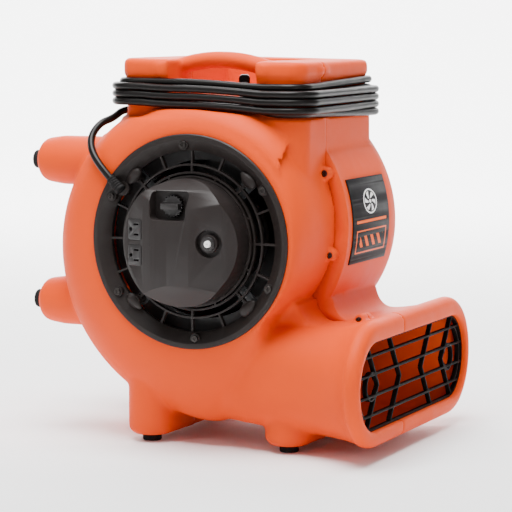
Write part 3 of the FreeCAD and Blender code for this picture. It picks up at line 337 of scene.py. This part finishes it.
def rounded_piece(node):
    """A CAD piece with its edges softened as moulding leaves them."""
    mesh = merged_mesh(node)
    obj = add_object(node + "_looks", mesh, FINISHES[node], BODIES.get(node, "housing"))
    bevel = obj.modifiers.new("soft_edges", "BEVEL")
    bevel.width = ROUNDED[node]
    bevel.segments = 2
    bevel.limit_method = "ANGLE"
    bevel.angle_limit = math.radians(35)
    bevel.harden_normals = True
    bevel.use_clamp_overlap = True
    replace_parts(obj, node)
    return obj


def baked(obj):
    """The object's mesh with its modifiers applied."""
    graph = bpy.context.evaluated_depsgraph_get()
    graph.update()
    return bpy.data.meshes.new_from_object(obj.evaluated_get(graph))


def smoothed(points, edges, weight, rounds):
    """Moves each point toward the mean of its neighbours, round after round."""
    count = len(points)
    ends = np.concatenate([edges[:, 0], edges[:, 1]])
    others = np.concatenate([edges[:, 1], edges[:, 0]])
    degree = np.maximum(np.bincount(ends, minlength=count), 1)[:, None]
    for _ in range(rounds):
        total = np.stack([np.bincount(ends, weights=points[others, i], minlength=count) for i in range(3)], 1)
        points = points + 0.5 * weight[:, None] * (total / degree - points)
    return points


RIM_EDGE = 0.142         # radius round the fan axis inside which the intake rims stay crisp
RIM_FLAT = 0.137         # radius of the flat rim round the near intake
NEAR_TOP = 0.1775        # radius of the near scroll at its top
ROUND_START_Y = -0.100   # where the near side's rounding starts
ROUND_DEPTH = 0.055
SHOULDER_X = np.linspace(-0.105, 0.130, 95)
SHOULDER_Y = np.linspace(-0.152, -0.113, 17)
SHELL_VOXEL = 0.0023
SMOOTH_ROUNDS = 10
SHELL_TRIANGLES = 180000


def shell_softness(points):
    """How much each part of the shells is smoothed: little at the openings, not at the parting line."""
    x, y, z = points.T
    radius = np.hypot(x - FAN_AXIS.x, z - FAN_AXIS.z)
    weight = np.ones(len(points))
    weight[(radius < RIM_EDGE) & (np.abs(y) > 0.12)] = 0.12
    weight[np.abs(y - PARTING_Y) < 0.010] = 0
    weight[x > 0.236] = 0.35
    return weight


def scroll_height(x, y):
    """Height of the scroll's rounded top at a place on the near side."""
    turn = math.asin(min(1.0, max(0.0, (ROUND_START_Y - y) / ROUND_DEPTH)))
    radius = RIM_FLAT + math.cos(turn) * (NEAR_TOP - RIM_FLAT)
    return FAN_AXIS.z + math.sqrt(radius ** 2 - (x - FAN_AXIS.x) ** 2)


def add_shoulder(mesh):
    """Carries the near side's rounded top up to the lowest turn of the cord."""
    ledge_x, ledge_rise = (-0.12, 0.005, 0.075, 0.120, 0.14), (0.0105, 0.0105, 0.0050, -0.0005, -0.0030)
    inside_wall = COIL_LOW.z - 0.0025
    work = bmesh.new()
    work.from_mesh(mesh)
    grid = []
    for x in SHOULDER_X:
        ledge = COIL_LOW.z + float(np.interp(x, ledge_x, ledge_rise))
        column = []
        for y in SHOULDER_Y:
            surface = scroll_height(x, y)
            low = min(inside_wall, surface - 0.003)
            high = max(min(ledge, surface), low + 0.001)
            column.append((work.verts.new((x, y, high)), work.verts.new((x, y, low))))
        grid.append(column)
    for first, second in zip(grid, grid[1:]):
        for a, b, c, d in zip(first, second, second[1:], first[1:]):
            work.faces.new((a[0], b[0], c[0], d[0]))
            work.faces.new((d[1], c[1], b[1], a[1]))
        work.faces.new((first[0][0], first[0][1], second[0][1], second[0][0]))
        work.faces.new((first[-1][0], second[-1][0], second[-1][1], first[-1][1]))
    for row, side in ((grid[0], 1), (grid[-1], -1)):
        for a, b in zip(row, row[1:]):
            work.faces.new((a[0], b[0], b[1], a[1])[::side])
    work.to_mesh(mesh)
    work.free()


def moulded_shell(node):
    """A shell with the soft edges and blended corners of a rotomoulded housing."""
    mesh = NODES[node].data.copy()
    mesh.name = node + "_moulded"
    if node == "near_shell":
        add_shoulder(mesh)
    obj = add_object(node + "_moulded", mesh, ORANGE)
    remesh = obj.modifiers.new("even_mesh", "REMESH")
    remesh.mode = "VOXEL"
    remesh.voxel_size = SHELL_VOXEL
    even = baked(obj)
    obj.modifiers.remove(remesh)
    points = np.zeros(len(even.vertices) * 3)
    even.vertices.foreach_get("co", points)
    points = points.reshape(-1, 3)
    edges = np.zeros(len(even.edges) * 2, int)
    even.edges.foreach_get("vertices", edges)
    points = smoothed(points, edges.reshape(-1, 2), shell_softness(points), SMOOTH_ROUNDS)
    seam = np.abs(points[:, 1] - PARTING_Y) < 0.0016
    points[seam, 1] = PARTING_Y
    even.vertices.foreach_set("co", points.ravel())
    obj.data = even
    even.materials.clear()
    even.materials.append(ORANGE)
    thin = obj.modifiers.new("fewer_faces", "DECIMATE")
    thin.ratio = min(1.0, SHELL_TRIANGLES / (2 * len(even.polygons)))
    obj.data = baked(obj)
    obj.modifiers.remove(thin)
    for face in obj.data.polygons:
        face.use_smooth = True
    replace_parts(obj, node)


# ---- Small parts ----------------------------------------------------------------------------

def add_box(work, centre, size):
    made = bmesh.ops.create_cube(work, size=1.0)
    bmesh.ops.scale(work, vec=size, verts=made["verts"])
    bmesh.ops.translate(work, vec=centre, verts=made["verts"])


def islands(mesh):
    """The loose parts of a mesh, each as a pair of corners of its box."""
    work = bmesh.new()
    work.from_mesh(mesh)
    left = set(work.verts)
    boxes = []
    while left:
        group, queue = set(), [left.pop()]
        while queue:
            vert = queue.pop()
            group.add(vert)
            for edge in vert.link_edges:
                other = edge.other_vert(vert)
                if other in left:
                    left.discard(other)
                    queue.append(other)
        places = np.array([v.co for v in group])
        boxes.append((places.min(0), places.max(0)))
    work.free()
    return boxes


def driven_screws(node, axis, outward):
    """Screws with domed edges and a cross recess in each head; the heads face outward along the axis."""
    mesh = merged_mesh(node)
    work = bmesh.new()
    for low, high in islands(mesh):
        centre = (low + high) / 2
        centre[axis] = high[axis] if outward > 0 else low[axis]
        for long_side in [i for i in range(3) if i != axis]:
            size = [0.0009, 0.0009, 0.0009]
            size[axis], size[long_side] = 0.0026, 0.0050
            add_box(work, centre, size)
    cutter_mesh = bpy.data.meshes.new("recess")
    work.to_mesh(cutter_mesh)
    work.free()
    cutter = bpy.data.objects.new("recess", cutter_mesh)
    bpy.context.scene.collection.objects.link(cutter)
    obj = add_object(node + "_looks", mesh, FINISHES[node])
    bevel = obj.modifiers.new("domed", "BEVEL")
    bevel.width = 0.0007
    bevel.segments = 3
    bevel.limit_method = "ANGLE"
    bevel.angle_limit = math.radians(50)
    cut = obj.modifiers.new("recesses", "BOOLEAN")
    cut.operation = "DIFFERENCE"
    cut.object = cutter
    cut.use_self = True
    obj.data = baked(obj)
    obj.modifiers.clear()
    bpy.data.objects.remove(cutter)
    obj.data.shade_flat()
    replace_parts(obj, node)


def panel_lumps():
    """Long smooth lumps across the panel's diagonals, over the motor bracket's posts."""
    half_length, half_width, half_height = 0.0130, 0.0072, 0.0050
    ring_radius, panel_y = 0.1115, -0.1515
    work = bmesh.new()
    for index in range(4):
        angle = math.radians(45 + 90 * index)
        made = bmesh.ops.create_icosphere(work, subdivisions=4, radius=1.0)
        for vert in made["verts"]:
            along, out, up = vert.co
            taper = 1 - 0.25 * along
            shift = half_length * along
            radius = ring_radius + half_width * out * taper
            vert.co = (FAN_AXIS.x + radius * math.cos(angle) - shift * math.sin(angle),
                       panel_y - half_height * up * taper,
                       FAN_AXIS.z + radius * math.sin(angle) + shift * math.cos(angle))
    bmesh.ops.recalc_face_normals(work, faces=work.faces)
    mesh = bpy.data.meshes.new("panel_lumps")
    work.to_mesh(mesh)
    work.free()
    add_object("panel_lumps", mesh, BLACK)


def ribbed_gland():
    """The strain relief, with the ring ribs that let it flex."""
    start, second = Vector(ROUTE[0]), Vector(ROUTE[1])
    way = (second - start).normalized()
    length, turns = 0.021, 48
    profile = [(0.0, 0.0), (0.0, 0.0073)]
    for index in range(5):
        at = 0.004 + 0.0033 * index
        radius = 0.0075 - 0.0015 * at / length
        profile += [(at, radius), (at + 0.0004, radius - 0.0010), (at + 0.0013, radius - 0.0010),
                    (at + 0.0017, radius - 0.0001)]
    profile += [(length - 0.0005, 0.0060), (length, 0.0056), (length, 0.0047), (length - 0.004, 0.0047)]
    work = bmesh.new()
    verts = [work.verts.new((radius, 0, at)) for at, radius in profile]
    edges = [work.edges.new(pair) for pair in zip(verts, verts[1:])]
    bmesh.ops.spin(work, geom=verts + edges, cent=(0, 0, 0), axis=(0, 0, 1), angle=2 * math.pi,
                   steps=turns, use_merge=True)
    bmesh.ops.remove_doubles(work, verts=work.verts, dist=1e-6)
    bmesh.ops.recalc_face_normals(work, faces=work.faces)
    place = Matrix.Translation(start - way * length) @ way.to_track_quat("Z", "Y").to_matrix().to_4x4()
    work.transform(place)
    mesh = bpy.data.meshes.new("cord_gland_looks")
    work.to_mesh(mesh)
    work.free()
    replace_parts(add_object("cord_gland_looks", mesh, RUBBER), "cord_gland")


# ---- The cord -------------------------------------------------------------------------------

COIL_X = (COIL_LOW.x + COIL_HIGH.x) / 2


def coil_layer(inset, corner):
    """Half lengths and corner radius of a layer of cord, its centre line inside the coil's outer face."""
    return (COIL_HIGH.x - COIL_LOW.x) / 2 - inset, (COIL_HIGH.y - COIL_LOW.y) / 2 - inset, corner


INNER = coil_layer(0.0160, 0.025)
OUTER = coil_layer(0.0064, 0.0346)
ROUTE = [(-0.099, -0.1615, 0.338), (-0.121, -0.160, 0.359), (-0.141, -0.140, 0.384),
         (-0.136, -0.122, 0.405), (-0.125, -0.103, 0.411), (-0.121, -0.082, 0.423)]
NEAR_PLACES = (0.090, 0.063, 0.009, -0.047)
# Each turn's layer and height at the far left, far right and near right corners, along the near
# side at the four places, and at the near left corner.
TURNS = [
    ((OUTER, 0.4195), (OUTER, 0.4165), (INNER, 0.4205),
     (INNER, (0.4243, 0.4283, 0.4330, 0.4350)), (INNER, 0.4370)),
    ((INNER, 0.4330), (OUTER, 0.4263), (OUTER, 0.4245),
     (OUTER, (0.4250, 0.4275, 0.4300, 0.4314)), (OUTER, 0.4336)),
    ((OUTER, 0.4372), (OUTER, 0.4360), (OUTER, 0.4350),
     (OUTER, (0.4352, 0.4376, 0.4407, 0.4411)), (OUTER, 0.4432)),
    ((OUTER, 0.4470), (OUTER, 0.4458), (OUTER, 0.4448),
     (OUTER, (0.4450, 0.4474, 0.4504, 0.4508)), (OUTER, 0.4528)),
    ((INNER, 0.4585), (INNER, 0.4585), (INNER, 0.4530),
     (INNER, (0.4528, 0.4540, 0.4578, 0.4584)), (INNER, 0.4586)),
]
LAST_TURN = ((INNER, 0.4488), (INNER, 0.4480), (INNER, 0.4434))
TO_PLUG = [(0.104, -0.120, 0.4430), (0.084, -0.120, 0.4430), (0.072, -0.120, 0.4430),
           (0.0625, -0.1115, 0.4432), (0.0585, -0.1025, 0.4440), (0.0553, -0.0956, 0.4468),
           (0.0523, -0.0890, 0.4505), (0.0489, -0.0817, 0.4526)]
CORD_DIAMETER = 0.0095


def corner_points(spot, side_x, side_y, x_first):
    """Four control points round one corner of the neck; x_first says which side the cord comes along."""
    (half_x, half_y, radius), height = spot
    places = [(half_x, half_y - 1.41 * radius), (half_x, half_y - 0.59 * radius),
              (half_x - 0.59 * radius, half_y), (half_x - 1.41 * radius, half_y)]
    order = places if x_first else places[::-1]
    return [(COIL_X + side_x * x, side_y * y, height) for x, y in order]


def three_corners(far_left, far_right, near_right):
    return (corner_points(far_left, -1, 1, True) + corner_points(far_right, 1, 1, False)
            + corner_points(near_right, 1, -1, True))


def cord_points():
    points = list(ROUTE)
    for far_left, far_right, near_right, (near_layer, heights), near_left in TURNS:
        points += three_corners(far_left, far_right, near_right)
        points += [(x, -near_layer[1], z) for x, z in zip(NEAR_PLACES, heights)]
        points += corner_points(near_left, -1, -1, False)
    return points + three_corners(*LAST_TURN) + TO_PLUG


def power_cord():
    curve = bpy.data.curves.new("power_cord_looks", "CURVE")
    curve.dimensions = "3D"
    curve.resolution_u = 8
    spline = curve.splines.new("NURBS")
    points = cord_points()
    spline.points.add(len(points) - 1)
    for point, place in zip(spline.points, points):
        point.co = (*place, 1)
    spline.order_u = 3
    spline.use_endpoint_u = True
    length = spline.calc_length()
    curve.bevel_depth = CORD_DIAMETER / 2
    curve.bevel_resolution = 5
    curve.use_fill_caps = True
    curve.materials.append(CORD)
    obj = bpy.data.objects.new("power_cord_looks", curve)
    bpy.context.scene.collection.objects.link(obj)
    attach(obj, "housing")
    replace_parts(obj, "power_cord", "cord_coil")
    return obj, length


# ---- Putting it together --------------------------------------------------------------------

camera()
studio()
for name, made in FINISHES.items():
    for slot in NODES[name].material_slots:
        slot.material = made
for name in ("near_shell", "far_shell"):
    moulded_shell(name)
pieces = {name: rounded_piece(name) for name in ROUNDED}
for name, axis, outward in (("intake_panel_screws", 1, -1), ("far_panel_screws", 1, 1),
                            ("shell_screws", 1, -1), ("floor_feet_screws", 2, -1),
                            ("back_feet_screws", 0, -1)):
    driven_screws(name, axis, outward)
panel_lumps()
ribbed_gland()
cord, cord_length = power_cord()
